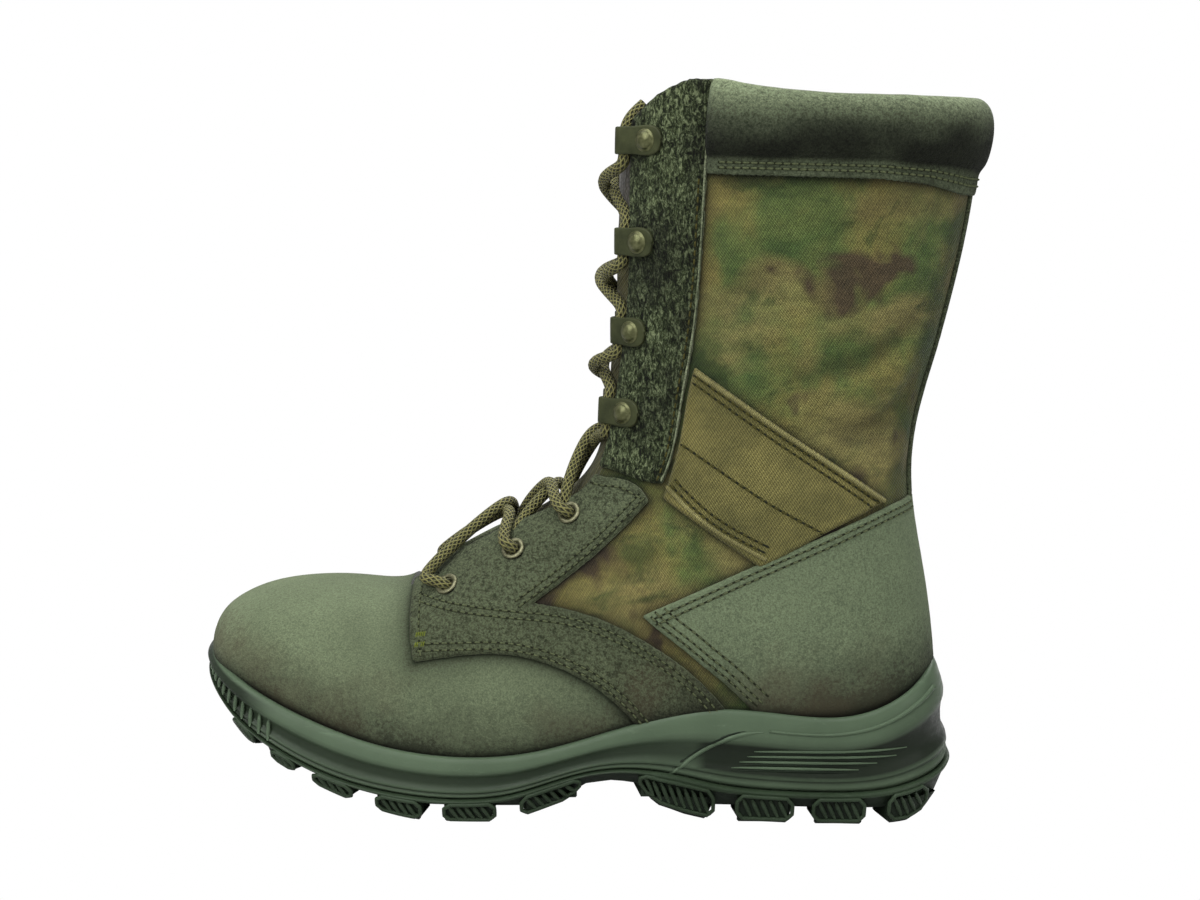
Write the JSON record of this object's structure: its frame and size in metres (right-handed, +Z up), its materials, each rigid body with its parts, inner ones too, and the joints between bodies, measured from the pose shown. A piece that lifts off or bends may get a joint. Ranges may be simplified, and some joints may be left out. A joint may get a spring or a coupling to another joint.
{
  "type": "jungle boot",
  "caption": "Left lace-up jungle boot: lugged moulded sole, hollow nubuck and camouflage cloth upper, padded cuff, tongue, eyelets, lace loops and lace.",
  "frame": {"origin": "on the floor under the heel, in the flat tread that the heel rests on", "axes": "-X towards the toe, +X towards the heel, -Y towards the outer side of the foot, +Z up"},
  "size_m": [0.3071, 0.1037, 0.2814],
  "materials": {
    "outsole": "satin olive green moulded rubber",
    "midsole": "satin olive green foamed sole",
    "upper": "olive nubuck toe and camouflage cloth shaft",
    "lining": "dark brown knitted lining",
    "cloth": "olive cloth",
    "leather": "matt olive green nubuck",
    "rough_leather": "rough grey green split suede",
    "webbing": "khaki twill webbing",
    "metal": "dull antique brass",
    "loop": "dark olive folded tab",
    "lace": "braided olive cord"
  },
  "bodies": {
    "root": {"outsole": "outsole", "midsole": "midsole", "upper": "upper", "insole": "lining", "tongue": "cloth", "counter": "leather", "backstay": "leather", "cuff": "leather", "facing_outer": "leather", "facing_inner": "leather", "strip_outer": "rough_leather", "strip_inner": "rough_leather", "webbing_outer": "webbing", "webbing_inner": "webbing", "eyelet_outer_1": "metal", "eyelet_outer_2": "metal", "eyelet_outer_3": "metal", "eyelet_inner_1": "metal", "eyelet_inner_2": "metal", "eyelet_inner_3": "metal", "loop_outer_1": "loop", "loop_outer_2": "loop", "loop_outer_3": "loop", "loop_outer_4": "loop", "loop_inner_1": "loop", "loop_inner_2": "loop", "loop_inner_3": "loop", "loop_inner_4": "loop", "rivet_outer_1": "metal", "rivet_outer_2": "metal", "rivet_outer_3": "metal", "rivet_outer_4": "metal", "rivet_inner_1": "metal", "rivet_inner_2": "metal", "rivet_inner_3": "metal", "rivet_inner_4": "metal", "lace": "lace"}
  },
  "joints": []
}
